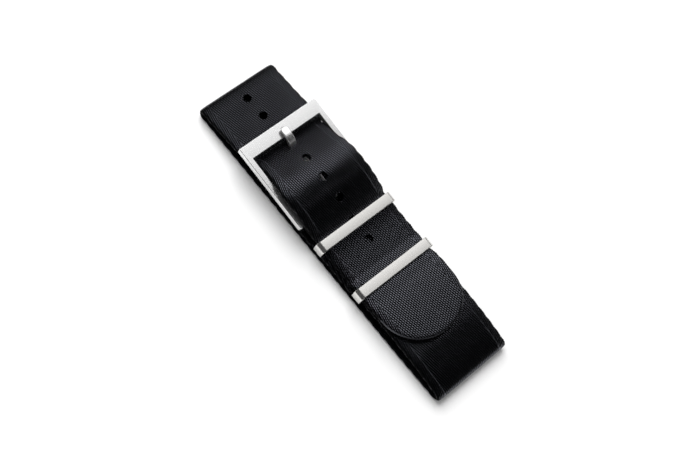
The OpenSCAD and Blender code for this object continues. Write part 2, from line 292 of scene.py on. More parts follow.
# %% Room
ROOM_GLOW = 0.35
BOX_STRENGTH = 2.0
ROOM_DARK = 0.006
HORIZON = 0.6
world = bpy.data.worlds.new("studio")
world.use_nodes = True
bpy.context.scene.world = world
tree = world.node_tree
tree.nodes.clear()
rays = add(tree, "ShaderNodeLightPath").outputs
towards = add(tree, "ShaderNodeSeparateXYZ")
feed(towards.inputs[0], add(tree, "ShaderNodeTexCoord").outputs["Generated"])
to_x, to_y, to_z = towards.outputs
along_x = times(ramp(to_x, -0.85, -0.2), ramp(to_x, -0.13, -0.01, 1.0, 0.0))
along_y = times(ramp(to_y, -0.02, 0.26), ramp(to_y, 0.75, 1.0, 1.0, 0.5))
soft_box = times(along_x, along_y, ramp(to_z, 0.2, 0.5))
horizon = times(ramp(to_z, 0.05, 0.3, 1.0, 0.0), HORIZON)
reflected = plus(times(soft_box, BOX_STRENGTH), plus(horizon, ROOM_DARK))
mirrors = calc("MAXIMUM", rays["Is Glossy Ray"], rays["Is Transmission Ray"])
unseen_light = times(rest_of(mirrors), ROOM_GLOW)
bounced = plus(times(mirrors, reflected), unseen_light)
seen = rays["Is Camera Ray"]
strength = plus(times(bounced, rest_of(seen)), seen)
room = wire(add(tree, "ShaderNodeBackground"), Color=WHITE, Strength=strength)
wire(add(tree, "ShaderNodeOutputWorld"), Surface=room.outputs[0])

# %% Lamp
LAMP_TOWARDS = (-0.8, 0.34, 1.0)
LAMP_DISTANCE = 0.9
LAMP_SIZE = 0.82
LAMP_WATTS = 10.5

lamp = bpy.data.lights.new("shadow_lamp", "AREA")
lamp.shape = "SQUARE"
lamp.size = LAMP_SIZE
lamp.energy = LAMP_WATTS
shadow_lamp = show("shadow_lamp", lamp)
shadow_lamp.location = Vector(LAMP_TOWARDS).normalized() * LAMP_DISTANCE
shadow_lamp.rotation_euler = shadow_lamp.location.to_track_quat("Z", "Y").to_euler()
shadow_lamp.visible_glossy = False
print("lamp:", shadow_lamp.name)

# %% [markdown]
# ## The band's path
#
# Seen from the side, the whole band is one line: from the rounded tip back through the buckle to the
# front fold, along the table to the rear fold, forward again under the free end, and round the
# hinge bar. The knots below are nearly the engineering model's. A cubic curve that never
# swings past its knots joins them, the folds are arcs, and a light smoothing takes out what a
# stiff fabric wouldn't do.

# %% Sizes of the band
def box_mm(node):
    """A node's box in millimetres."""
    return [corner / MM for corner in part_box(node)]


bar_low, bar_high = box_mm("bar_tube")
ring_low, ring_high = box_mm("keeper_front")
rear_low, rear_high = box_mm("keeper_rear")
web_low, web_high = box_mm("strap_webbing")

web_t = 1.1
half_t = web_t / 2
lay_gap = 0.08
step = web_t + lay_gap
front_fold_gap = 0.75
rear_fold_gap = 0.95
rear_sink = 0.1
front_rise = 0.8
tip_rise = 0.8
end_gap = 0.24
tip_x = 30.3

bar_x = (bar_low.x + bar_high.x) / 2
bar_z = (bar_low.z + bar_high.z) / 2
bar_d = bar_high.z - bar_low.z
keeper_x = (ring_low.x + ring_high.x) / 2
rear_keeper_x = (rear_low.x + rear_high.x) / 2
keeper_w = ring_high.x - ring_low.x
keeper_floor = 0.65
keepers_from = keeper_x - keeper_w / 2
keepers_to = rear_keeper_x + keeper_w / 2
front_x = -27.5
front_inner_x = -24.1
frame_tilt = math.radians(4.7)
frame_t = 1.7

front_fold_r = (web_t + front_fold_gap) / 2
rear_fold_r = (web_t + rear_fold_gap) / 2
front_fold_x = web_low.x + half_t + front_fold_r
rear_fold_x = web_high.x - half_t - rear_fold_r
front_top_z = half_t + 2 * front_fold_r
rear_end_x = web_high.x - half_t
rear_mid_z = half_t + rear_fold_r - rear_sink
NOSE_R = 0.68
NOSE_ANGLE = math.radians(62)
turn_gap = 0.05
loop_r = bar_d / 2 + turn_gap + half_t
over_z = bar_z + loop_r + half_t + lay_gap + half_t
main_z = ring_low.z + keeper_floor + lay_gap + half_t
tail_z = main_z + step
crest_z = main_z + tip_rise
end_z = crest_z + web_t + end_gap
sewn_x = bar_x + 2.4
sewn_end_x = bar_x + 4.7
sewn_gap = 0.4
sewn_low_z = web_t + sewn_gap + half_t
sewn_high_z = sewn_low_z + step


def frame_top(x):
    """Height of the frame's upper face."""
    return bar_z + frame_t / 2 / math.cos(frame_tilt) - (x - bar_x) * math.tan(frame_tilt)


inner_under_z = frame_top(front_inner_x) - frame_t / math.cos(frame_tilt) - lay_gap - half_t
print("hinge bar at x", round(bar_x, 2), "z", round(bar_z, 2), "mm")


# %% The knots
def near(x, z, *offsets):
    """Knots that are given by how far they lie from one place."""
    return [(x + dx, z + dz) for dx, dz in offsets]


tail_knots = [
    *near(front_fold_x, front_top_z, (0, 0), (1.5, 0.02)),
    *near(front_x, front_top_z, (-7, 0.5 * front_rise), (-1.5, 1.35 * front_rise)),
    ((front_x + front_inner_x) / 2, inner_under_z - 0.15),
    *near(front_inner_x, inner_under_z, (0.1, -0.02), (1.7, 0.85)),
    *near(bar_x, over_z, (-12, -0.95), (-9.5, -0.23), (-7.5, 0.28), (-6, 0.44), (-5, 0.49)),
    *near(bar_x, over_z, (-4.1, 0.46), (-3, 0.33), (-1.5, 0.07), (0, -0.15), (1.4, -0.58), (3, -1.3)),
    *near(keepers_from, tail_z, (-2, 1.1), (-0.9, 0.3), (-0.1, 0)),
    (keepers_to + 0.15, tail_z),
    *near(keepers_to, end_z, (3.2, -0.42), (7, -0.08), (11.8, 0.24)),
    (tip_x, end_z + 0.5),
]
main_knots = [
    (sewn_x - 2.4, bar_z - loop_r * 0.92),
    (sewn_x - 0.2, sewn_low_z),
    (sewn_end_x + 0.1, sewn_low_z),
    (keepers_from - 0.1, main_z),
    (keepers_to + 0.15, main_z),
    (keepers_to + 5.5, crest_z - 0.2),
    *near(tip_x, crest_z, (-2, 0.04), (0.7, 0.01), (2.7, -0.12), (4.7, -0.28), (5.7, -0.375)),
    *near(tip_x, crest_z, (6.7, -0.49), (7.7, -0.63), (8.7, -0.83)),
    (rear_end_x - NOSE_R * (1 - math.cos(NOSE_ANGLE)), rear_mid_z + NOSE_R * math.sin(NOSE_ANGLE)),
]
sewn_path = [*near(sewn_x, sewn_high_z, (-0.55, 0.75), (-0.2, 0.25), (0.25, 0)), (sewn_end_x, sewn_high_z)]


# %% The curve through them
def smooth_curve(knots, gap=0.1, last_lean=0.0):
    """Points along a cubic through knots whose x only grows, which never swings past them."""
    x, z = np.array(knots).T
    run = np.diff(x)
    rise = np.diff(z) / run
    product = rise[:-1] * rise[1:]
    total = np.where(np.abs(rise[:-1] + rise[1:]) < 1e-9, 1, rise[:-1] + rise[1:])
    lean = np.concatenate([[0], np.where(product > 0, 2 * product / total, 0), [last_lean]])
    where = np.linspace(x[0], x[-1], int((x[-1] - x[0]) / gap) + 1)
    i = np.clip(np.searchsorted(x, where, side="right") - 1, 0, len(run) - 1)
    u = (where - x[i]) / run[i]
    height = (2 * u**3 - 3 * u**2 + 1) * z[i] + (3 * u**2 - 2 * u**3) * z[i + 1]
    height += ((u**3 - 2 * u**2 + u) * lean[i] + (u**3 - u**2) * lean[i + 1]) * run[i]
    return np.column_stack([where, height])


def arc(centre, radius, start, end, count):
    """Points on an arc, with angles in degrees."""
    angle = np.radians(np.linspace(start, end, count))
    return np.column_stack([centre[0] + radius * np.cos(angle), centre[1] + radius * np.sin(angle)])


def lengths_along(points):
    """How far along a line each of its points is."""
    return np.concatenate([[0], np.cumsum(np.hypot(*np.diff(points, axis=0).T))])


def even_steps(points, gap):
    """The same line with points an even distance apart."""
    lengths = lengths_along(points)
    places = np.linspace(0, lengths[-1], int(round(lengths[-1] / gap)) + 1)
    return np.column_stack([np.interp(places, lengths, points[:, k]) for k in (0, 1)])


def soften(points, reach):
    """The line blurred a little along itself, with its two ends held."""
    kernel = np.exp(-0.5 * (np.arange(-3 * reach, 3 * reach + 1) / reach) ** 2)
    kernel /= kernel.sum()
    n = 3 * reach
    before = 2 * points[0] - points[n:0:-1]
    after = 2 * points[-1] - points[-2 : -n - 2 : -1]
    padded = np.concatenate([before, points, after])
    return np.column_stack([np.convolve(padded[:, k], kernel, "valid") for k in (0, 1)])


PATH_GAP = 0.1
TIP_LEAN = 0.08
tail_line = smooth_curve(tail_knots, last_lean=TIP_LEAN)[::-1]
main_line = smooth_curve(main_knots, last_lean=-1 / math.tan(NOSE_ANGLE))[::-1]
path_parts = [
    tail_line,
    arc((front_fold_x, half_t + front_fold_r), front_fold_r, 100, 270, 30),
    arc((rear_end_x - rear_mid_z + half_t, rear_mid_z), rear_mid_z - half_t, 270, 360, 20),
    arc((rear_end_x - NOSE_R, rear_mid_z), NOSE_R, 4, math.degrees(NOSE_ANGLE) - 4, 16),
    main_line[main_line[:, 0] > sewn_x - 2.35],
    arc((bar_x, bar_z), loop_r, -112, -322, 40),
    np.array(sewn_path),
]
path = soften(even_steps(np.concatenate(path_parts), PATH_GAP), 3)
path_at = lengths_along(path)
band_length = path_at[-1]
along = np.gradient(path, path_at, axis=0)
along /= np.hypot(*along.T)[:, None]
outward = np.column_stack([along[:, 1], -along[:, 0]])
bend = np.hypot(*np.gradient(along, path_at, axis=0).T)
print("band:", round(band_length, 1), "mm long from tip to sewn end")

# %% [markdown]
# ## The flat pattern
#
# A strap maker cuts the band flat, rounds and seals its tip with a hot knife, punches the holes
# with a hot punch, and only then folds it. The script does the same. The pattern is a drawing in
# two dimensions, with `s` along the band from the tip and `v` across it. A constrained Delaunay
# triangulation fills it, so every hole and the tip have clean rings of points round them, which
# no grid with booleans would give. Then each point is folded onto the path, once for the upper
# face and once for the lower, and the two faces meet in a round edge.

# %% Places along the band
tail_count = int(np.argmin(path[: len(path) // 2, 0]))
TAIL_X = path[:tail_count, 0][::-1]
TAIL_S = path_at[:tail_count][::-1]


def tail_s(x):
    """How far along the band the free end's place above x is."""
    return float(np.interp(x, TAIL_X, TAIL_S))


table_start = int(np.argmax(path[:, 1] < half_t + 0.01))


def table_s(x):
    """How far along the band the lowest layer's place at x is."""
    return path_at[table_start] + x - path[table_start, 0]


# Known fault: MAIN_X starts on the lowest layer, so main_s is right only for x from about 11.4 to
# 20. The middle layer isn't narrowed or moved in the front keeper, and the guard in window hides
# the division by zero that comes from it.
MAIN_COUNT = 500
main_start = int(np.argmax((path[:, 0] < rear_fold_x) & (path_at > path_at[table_start] + 60)))
MAIN_X = path[main_start : main_start + MAIN_COUNT, 0][::-1]
MAIN_S = path_at[main_start : main_start + MAIN_COUNT][::-1]


def main_s(x):
    """How far along the band the middle layer's place at x is."""
    return float(np.interp(x, MAIN_X, MAIN_S))


last_part = path_at > band_length * 0.7
near_bar = np.hypot(path[:, 0] - bar_x, path[:, 1] - bar_z)
loop_start = path_at[np.argmax((near_bar < loop_r + 0.55) & last_part)]
loop_end = path_at[len(path) - 1 - np.argmax(near_bar[::-1] < loop_r + 0.9)]
narrow_start = path_at[np.argmax((path[:, 0] < sewn_x + 0.1) & last_part)]
print("loop from", round(loop_start, 1), "to", round(loop_end, 1), "mm")

# %% Holes in the pattern
hole_r = 0.9
hole_pitch = 5.45
tongue_hole_x = front_inner_x + 1.25
tongue_w = 1.8

holes = []
for i in range(1, 6):
    holes.append((tail_s(tongue_hole_x + 0.1 + i * hole_pitch), 0.0, hole_r))
for i in range(2):
    holes.append((tail_s(tongue_hole_x - 8.5 - i * hole_pitch), 0.0, hole_r))
    holes.append((table_s(front_fold_x + 0.9 + i * hole_pitch), 0.0, hole_r))
slot_from, slot_to = tail_s(-20.8), tail_s(-22.9)
slot_s = (slot_from + slot_to) / 2
slot_r = tongue_w / 2 + 0.12
holes.append((slot_s, (slot_to - slot_from) / 2 - slot_r, slot_r))
eye_slot_r = 1.16
holes.append(((loop_start + loop_end) / 2, (loop_end - loop_start) / 2 - eye_slot_r, eye_slot_r))
print(len(holes), "holes and slots")

# %% Distances in the pattern
HALF_W = 10.2
TIP_R = HALF_W
EDGE_R = 0.42
SCALLOP = 2.7
SCALLOP_DEPTH = 0.18
FAR_AWAY = 99.0

EDGE_S = np.concatenate([[0.0], np.arange(TIP_R + 0.2, band_length - 0.1, 0.225), [band_length]])
EDGE_WAVE = (np.abs(np.sin(np.pi * EDGE_S / SCALLOP)) ** 0.8 - 0.5) * np.clip((EDGE_S - TIP_R) / 4, 0, 1)


def edge_at(s):
    """Half the width of the woven ground at s, with the selvage's gentle scallops."""
    return np.interp(s, EDGE_S, HALF_W + SCALLOP_DEPTH * EDGE_WAVE)


def tip_power(v):
    """How square the tip is on each side: 2 is a circle, and the right side is a little fuller."""
    return np.where(v > 0, 2.3, 2.1)


def tip_distance(s, v):
    """How far a point is inside the rounded tip."""
    n = tip_power(v)
    size = (np.abs(TIP_R - s) ** n + np.abs(v) ** n) ** (1 / n)
    return np.where(s < TIP_R, TIP_R - size, FAR_AWAY)


def side_distance(s, v):
    """How far a point is inside the two edges and the cut end."""
    return np.minimum(edge_at(s) - np.abs(v), band_length - s)


def edge_distance(s, v):
    """How far a point is inside the whole outline."""
    return np.minimum(side_distance(s, v), tip_distance(s, v))


def hole_distance(s, v):
    """How far a point is outside the nearest hole or slot."""
    nearest = np.full(np.shape(s), FAR_AWAY)
    for middle, reach, r in holes:
        across = np.hypot(np.maximum(np.abs(s - middle) - reach, 0), v) - r
        nearest = np.minimum(nearest, across)
    return nearest


# %% Points of the pattern
EDGE_RINGS = (0.0, 0.03, 0.09, 0.17, 0.28, 0.42)
HOLE_RINGS = (0.0, 0.015, 0.05, 0.1, 0.17, 0.28, 0.44)
FINE_STEP = 0.16
WIDE_STEP = 0.5
END_COUNT = 39

levels = [0.0]
while levels[-1] < band_length - 0.2:
    tight = np.interp(levels[-1], path_at, bend)
    levels.append(levels[-1] + float(np.clip(FINE_STEP / max(tight, 0.01), FINE_STEP, WIDE_STEP)))
levels = np.array(levels[1:-1])
rows = np.linspace(-9.5, 9.5, 37)

pattern = []
pattern_edges = []


def add_ring(*lines):
    """Adds a closed ring of points, and holds its segments in the triangulation."""
    points = np.concatenate(lines)
    first = len(pattern)
    pattern.extend((float(s), float(v)) for s, v in points)
    for i in range(first, len(pattern)):
        pattern_edges.append((i, first + (i + 1 - first) % len(points)))


straight = EDGE_S[1:-1]
angle = np.linspace(-np.pi / 2, np.pi / 2, 121)
share = 2 / tip_power(angle)
for depth in EDGE_RINGS:
    r = TIP_R - depth
    tip_v = r * np.sign(angle) * np.abs(np.sin(angle)) ** share
    tip = np.column_stack([TIP_R - r * np.cos(angle) ** share, tip_v])
    lower = np.column_stack([straight, -(edge_at(straight) - depth)])[::-1]
    upper = np.column_stack([straight, edge_at(straight) - depth])
    end_v = np.linspace(1, -1, END_COUNT) * (edge_at(band_length) - depth)
    add_ring(lower, tip, upper, np.column_stack([np.full(END_COUNT, band_length - depth), end_v]))

for middle, reach, r in holes:
    for depth in HOLE_RINGS:
        if reach < 0.05:
            add_ring(arc((middle, 0), r + depth, 0, 360, 33)[:-1])
            continue
        sides = np.linspace(-1, 1, max(int(reach / 0.2), 2) + 2)[1:-1] * reach + middle
        add_ring(
            arc((middle + reach, 0), r + depth, -90, 90, 17),
            np.column_stack([sides[::-1], np.full(len(sides), r + depth)]),
            arc((middle - reach, 0), r + depth, 90, 270, 17),
            np.column_stack([sides, np.full(len(sides), -r - depth)]),
        )

grid_s, grid_v = (g.ravel() for g in np.meshgrid(levels, rows, indexing="ij"))
inside = (edge_distance(grid_s, grid_v) > 0.6) & (hole_distance(grid_s, grid_v) > 0.62)
pattern.extend(zip(grid_s[inside].tolist(), grid_v[inside].tolist()))
print(len(pattern), "points in the pattern")

# %% Triangles of the pattern
found = geometry.delaunay_2d_cdt([Vector(p) for p in pattern], pattern_edges, [], 0, 1e-5)
flat = np.array([(p.x, p.y) for p in found[0]])
triangles = np.array(found[2])
middles = flat[triangles].mean(axis=1).T
triangles = triangles[(edge_distance(*middles) > 0.001) & (hole_distance(*middles) > 0)]
print(len(flat), "points and", len(triangles), "triangles")

# %% [markdown]
# ## Folding the band
#
# Each point of the pattern gets its distance to the nearest edge and hole. Near an edge the two
# faces close in a half round, near a hole from the hot punch they swell into a small melted
# bead, and at the hot-cut tip the band is thinner. Between the rails of the buckle the band is
# squeezed narrower and bows up a little, and where nothing holds it, it is never quite even.
# Nothing centres the two upper layers in the keepers either: the free end lies half a millimetre
# to the right there, and dips a little between the keepers. The middle layer should do the same,
# but because of the fault in main_s it lies to the right only in the rear keeper.

# %% Fold the pattern onto the path
def ease(u):
    """A smooth step from 0 to 1."""
    return u * u * (3 - 2 * u)


def window(x, start, rise_end, fall_start, end):
    """0 outside, 1 between, with smooth shoulders."""
    up = np.clip((x - start) / (rise_end - start), 0, 1)
    down = np.clip((end - x) / ((end - fall_start) or 1e-9), 0, 1)
    return ease(np.minimum(up, down))


def half_round(distance, r):
    """Share of the full thickness at a distance from a round edge of radius r."""
    return np.sqrt(1 - (1 - np.clip(distance / r, 0, 1)) ** 2)


def bell(distance, width, power=2):
    """1 at no distance, falling to 0 over about twice the width."""
    return np.exp(-((distance / width) ** power))


TIP_ROUND = 0.15
HOLE_ROUND = 0.12
SELVAGE_THINNER = 0.25
TIP_THINNER = 0.12
BEAD_HEIGHT = 0.008
CUP_HEIGHT = 0.12
UNEVEN_HEIGHT = 0.02
SLOT_LEAN = 1.1
DIP_DEPTH = 0.3
KEEPER_DRIFT = 0.5
FULL_HALF_W = HALF_W + SCALLOP_DEPTH / 2
SQUEEZE = 1 - 9.33 / FULL_HALF_W
KEPT = 1 - 10.08 / FULL_HALF_W
KEEPER_PLACES = (16.5, 14.5, -1.5, -3.5)


def places_on(place, *xs):
    """Places along the band that are given by their x on one of its layers."""
    return [place(x) for x in xs]


between_rails = places_on(tail_s, -12.6, -19, -22.8, -23.6)
in_tail_keepers = places_on(tail_s, *KEEPER_PLACES)
in_main_keepers = places_on(main_s, *KEEPER_PLACES)
over_rails = places_on(tail_s, -14.5, -17.2, -19.5, -22)
free_spans = [places_on(tail_s, -9, -11, -20, -23), places_on(tail_s, -28, -30, -35, -38)]
free_end_drift = places_on(tail_s, 15, -1, -13)
main_drift = places_on(main_s, 27, 15, 0, -5)


def dip(s, place):
    """How far the band dips between the keepers: fast behind the front one, then hardly at all."""
    behind = np.clip(place(1.3) - s, 0, FAR_AWAY)
    before = np.clip((s - place(11.7)) / 1.9, 0, 1)
    return DIP_DEPTH * (1 - np.exp(-behind / 2.2)) * ease(before)


def width_share(s):
    """How much of its width the band keeps at s."""
    loop = np.clip((s - narrow_start) / 1.6, 0, 1)
    keepers = KEPT * np.maximum(window(s, *in_tail_keepers), window(s, *in_main_keepers))
    return 1 - np.maximum(SQUEEZE * np.maximum(window(s, *between_rails), loop), keepers)


def drift(s):
    """How far the two upper layers are meant to lie to the right in the keepers."""
    free_end = np.interp(s, [0, *free_end_drift], [0.7, 1, 1, 0])
    return KEEPER_DRIFT * np.maximum(free_end, window(s, *main_drift))


def fold(s, v, side):
    """Where the points of the pattern are on the folded band, in millimetres."""
    to_hole = hole_distance(s, v)
    to_tip = tip_distance(s, v)
    on_face = (edge_distance(s, v) > 0.001) * (to_hole > 0.001)
    thickness = half_t * half_round(side_distance(s, v), EDGE_R)
    thickness *= half_round(to_tip, TIP_ROUND)
    thickness *= half_round(to_hole, HOLE_ROUND)
    thickness *= 1 - SELVAGE_THINNER * np.clip((np.abs(v) - 8.3) / 1.9, 0, 1) ** 2
    thickness *= 1 - TIP_THINNER * bell(to_tip, 0.3)
    bead = BEAD_HEIGHT * bell(to_hole - 0.17, 0.08) * (side > 0)
    cup = CUP_HEIGHT * window(s, *over_rails) * np.clip((np.abs(v) - 6.5) / 3.5, 0, 1) ** 2
    sag = -np.maximum(dip(s, tail_s), dip(s, main_s))
    free = sum(window(s, *span) for span in free_spans)
    uneven = UNEVEN_HEIGHT * free * (np.sin(s * 0.9 + v * 0.33) + np.sin(s * 0.37 - v * 0.7 + 1.1))
    lift = side * (thickness + bead * on_face) + cup + uneven
    to_slot = np.hypot(np.maximum(np.abs(s - slot_s) - 1.05, 0), v)
    s = s + SLOT_LEAN * lift * bell(to_slot, 2, 4)
    x, z = (np.interp(s, path_at, path[:, k]) + lift * np.interp(s, path_at, outward[:, k]) for k in (0, 1))
    return np.column_stack([x, v * width_share(s) + drift(s), z + sag])


s, v = flat.T
rim = (np.abs(edge_distance(s, v)) < 1e-3) | (np.abs(hole_distance(s, v)) < 1e-3)
lower_of = np.where(rim, np.arange(len(flat)), len(flat) + np.cumsum(~rim) - 1)
upper = fold(s, v, 1)
lower = fold(s[~rim], v[~rim], -1)
faces = np.concatenate([triangles, lower_of[triangles][:, ::-1]])
band_mesh = bpy.data.meshes.new("webbing_band")
band_mesh.from_pydata((np.concatenate([upper, lower]) * MM).tolist(), [], faces.tolist())


# %% What the weave needs to know
def set_attribute(mesh, name, values, kind="FLOAT"):
    """Stores one value for each point of a mesh."""
    layer = mesh.attributes.new(name, kind, "POINT")
    key = "vector" if kind == "FLOAT_VECTOR" else "value"
    layer.data.foreach_set(key, np.asarray(values, np.float32).ravel())


SEAL_WIDTH = 0.16
# Painted shade: each hole's wall and a thin ring round its edge are painted black and lose their sheen, as
# the shade inside the hole would make them.
HOLE_SHADE_WIDTH = 0.06
every_s = np.concatenate([s, s[~rim]])
every_v = np.concatenate([v, v[~rim]])
sealed = bell(tip_distance(every_s, every_v), SEAL_WIDTH, 4)
punched = bell(np.clip(hole_distance(every_s, every_v), 0, 9), HOLE_SHADE_WIDTH, 4)
# Painted shade on the sheen: it is dimmed over the front section and towards both folds, standing in for
# the weaker light that reaches them.
sheen_falloff = np.interp(every_s, places_on(tail_s, -27, -30, -37.5, -40), [1.0, 0.55, 0.55, 0.25])
sheen_falloff = np.maximum(sheen_falloff, np.interp(every_s, places_on(main_s, 39, 36), [0.25, 1.0]))
set_attribute(band_mesh, "pattern_mm", np.column_stack([every_s, every_v, every_s * 0]), "FLOAT_VECTOR")
set_attribute(band_mesh, "sealed", sealed)
set_attribute(band_mesh, "punched", punched)
set_attribute(band_mesh, "sheen_falloff", sheen_falloff)
print("webbing:", len(band_mesh.polygons), "triangles")

# %% [markdown]
# ## Putting a piece in place
#
# Three things happen to every finished piece: it gets its material, it rides on a body of the
# engineering model, and the parts of that model that it stands for are hidden. Its mesh is
# already where it belongs, so its object stays at the origin.

# %% Finish a piece
def tidy(mesh, smooth_angle):
    """Points the faces outwards and smooths the mesh, except across sharp edges."""
    work = bmesh.new()
    work.from_mesh(mesh)
    bmesh.ops.recalc_face_normals(work, faces=work.faces)
    work.to_mesh(mesh)
    work.free()
    mesh.polygons.foreach_set("use_smooth", [True] * len(mesh.polygons))
    mesh.set_sharp_from_angle(angle=math.radians(smooth_angle))


def applied(thing, name, *helpers):
    """An object's mesh with its modifiers applied. The object and its helpers go."""
    bpy.context.view_layer.update()
    evaluated = thing.evaluated_get(bpy.context.evaluated_depsgraph_get())
    mesh = bpy.data.meshes.new_from_object(evaluated)
    mesh.name = name
    for used in (thing, *helpers):
        bpy.data.objects.remove(used)
    return mesh


def level_faces(mesh):
    """Lets flat faces stay flat next to their bevels: the bigger face decides a corner's normal."""
    helper = show("level", mesh)
    weigh = helper.modifiers.new("weigh", "WEIGHTED_NORMAL")
    weigh.keep_sharp = True
    weigh.weight = 100
    return applied(helper, mesh.name)


def put(name, mesh, material, body, slot, *stands_for, smooth_angle=50, level=False):
    """Makes the finished piece and ties it to the frame."""
    tidy(mesh, smooth_angle)
    if level:
        mesh = level_faces(mesh)
    mesh.materials.clear()
    mesh.materials.append(material)
    piece = show(name, mesh)
    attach(piece, body)
    if stands_for:
        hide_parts(*stands_for)
    print(name, "has", len(mesh.polygons), "faces and rides on", body)
    return piece


# %% [markdown]
# ## The weave
#
# Seat belt webbing is a steep twill. Its floats lie almost along the band, in cords that lean
# about eleven degrees and are half a millimetre apart. Every pick of the weft nips the cords, so
# they look beaded. Near both edges the twill turns round and leans the other way, and a single
# straight cord runs where the two meet. One node group works all of this out from the pattern's
# own millimetres, so the weave follows every fold.

# %% Weave group
WANDER_SCALE = 0.9
WANDER = (0.16, 0.12, 0.0)
CORD_SHARPNESS = 0.7
NIP_HEIGHT = (0.14, 0.6)
NIP_SHADE = (0.28, 0.5)
weave, given, result = new_group(
    "weave",
    {"Cord Pitch": 0.47, "Cord Lean": 0.2, "Pick Pitch": 0.6, "Edge Band": 8.35, "Edge Pitch": 0.42},
    "Height",
    "Shade",
    "Side",
)
wander = noise(given["Place"], WANDER_SCALE, 1.0)["Color"]
place = add(weave, "ShaderNodeSeparateXYZ")
feed(place.inputs[0], vector_math("MULTIPLY_ADD", wander, WANDER, given["Place"])[0])
run, across = place.outputs["X"], place.outputs["Y"]


def cords(pitch, turn):
    """How high each point stands on a set of leaning round cords, and the number of its cord."""
    straight_part = times(across, calc("COSINE", given["Cord Lean"]))
    leaning_part = times(run, calc("SINE", given["Cord Lean"]))
    number = calc("DIVIDE", calc(turn, straight_part, leaning_part), pitch)
    wave = calc("ABSOLUTE", calc("SINE", times(number, math.pi)))
    return calc("POWER", wave, CORD_SHARPNESS), calc("FLOOR", number)


def nipped(height, cord, depth, sharpness):
    """A height that dips where the weft nips the cords, half a pick later on each next cord."""
    pick = plus(calc("DIVIDE", run, given["Pick Pitch"]), times(cord, 0.5))
    wave = calc("ABSOLUTE", calc("SINE", times(pick, math.pi)))
    bump = calc("POWER", wave, sharpness)
    return times(height, plus(times(bump, depth), 1 - depth))


ground, ground_cord = cords(given["Cord Pitch"], "ADD")
border, border_cord = cords(given["Edge Pitch"], "SUBTRACT")
from_middle = calc("ABSOLUTE", across)
past_band = calc("SUBTRACT", from_middle, given["Edge Band"])
in_border = ramp(past_band, -0.06, 0.06)
seam_cord = ramp(calc("ABSOLUTE", past_band), 0.05, 0.2, 0.97, 0.0)


def either(inside, outside):
    """The ground's value inside and the border's outside."""
    outer = times(outside, in_border)
    return plus(outer, times(inside, rest_of(in_border)))


corded = calc("MAXIMUM", either(ground, border), seam_cord)
cord = either(ground_cord, border_cord)
wire(result, Height=nipped(corded, cord, *NIP_HEIGHT), Shade=nipped(corded, cord, *NIP_SHADE))
wire(result, Side=ramp(from_middle, 9.7, 10.0))
print("weave group:", len(weave.nodes), "nodes")

# %% Mottle group, for the slow unevenness that every real surface has
mottle, given, result = new_group("mottle", {"Patches": 300.0, "Contrast": 1.0}, "Value")
cloud = noise(given["Place"], given["Patches"], 3.0)["Fac"]
wire(result, Value=times(calc("SUBTRACT", cloud, 0.5), given["Contrast"]))

# %% Nylon webbing
# Painted shade: near black in the grooves between the cords, lighter on their crests.
GROOVE_SHADE = (0.0001, 0.0001, 0.0002, 1)
CREST = (0.005, 0.0053, 0.006, 1)
# Partly painted highlight: the sealed tip's band is lighter, partly as smooth melted nylon and partly for
# the light that its round edge catches.
MELTED_AND_LIT_RIM = (0.006, 0.0062, 0.0075, 1)
# Painted shade: the black that the holes' walls are painted.
HOLE_SHADE_BLACK = (0.0004, 0.0004, 0.0005, 1)
SHEEN_TINT = (0.85, 0.87, 1.0, 1.0)
NYLON_GLOSS = 1.05
MELTED_GLOSS = 0.22
CREST_SHARPNESS = 8.0
SIDE_DULLNESS = 0.85
nylon, tree, shader = new_material("black_nylon_webbing")
pattern_place = attribute(tree, "pattern_mm")["Vector"]
melted = attribute(tree, "sealed")["Fac"]
punched = attribute(tree, "punched")["Fac"]
cloth = use_group(tree, weave, Place=pattern_place)
cloud = use_group(tree, mottle, Place=pattern_place, Patches=0.35, Contrast=0.08)["Value"]
height = cloth["Height"]
# Painted shade in the grooves: the base colour goes almost black between the cords' crests, and the sheen
# below is kept to the crests as well.
yarn_and_groove_shade = mix_colour(calc("POWER", height, CREST_SHARPNESS), GROOVE_SHADE, CREST)
# Partly painted highlight: the sealed tip's band gets a lighter colour, for its melted nylon and for the
# light its round edge catches.
yarn_and_groove_shade = mix_colour(melted, yarn_and_groove_shade, MELTED_AND_LIT_RIM)
# Painted shade on the holes' walls: black base colour here, and no sheen in the gloss below.
wire(shader, Base_Color=mix_colour(punched, yarn_and_groove_shade, HOLE_SHADE_BLACK))
shade = calc("POWER", cloth["Shade"], CREST_SHARPNESS)
flat_part = rest_of(times(cloth["Side"], SIDE_DULLNESS))
# Painted shade: the sheen is dimmed over the front section and near both folds.
shade = times(shade, attribute(tree, "sheen_falloff")["Fac"], flat_part)
woven = times(shade, NYLON_GLOSS, rest_of(melted))
gloss = times(plus(woven, times(melted, MELTED_GLOSS)), rest_of(punched))
rough = plus(plus(times(height, -0.16), 0.37), cloud)
wire(shader, IOR=2.0, Specular_IOR_Level=gloss, Specular_Tint=SHEEN_TINT, Roughness=rough)
roughen(shader, times(height, rest_of(melted)), 1.0, 0.12)

band = put("webbing_band", band_mesh, nylon, "strap", "webbing", "strap_webbing", smooth_angle=180)

# %% [markdown]
# ## The selvage
#
# At both edges the weft thread turns back, and its turns stand out as a row of tiny loops, grouped
# in soft scallops. They are the same loop hundreds of times along a path, which is what Geometry
# Nodes are for. The guide is a line along each edge of the folded band. The tree walks it in even
# steps, sets a bent thread on each step, and turns it to face away from the band.

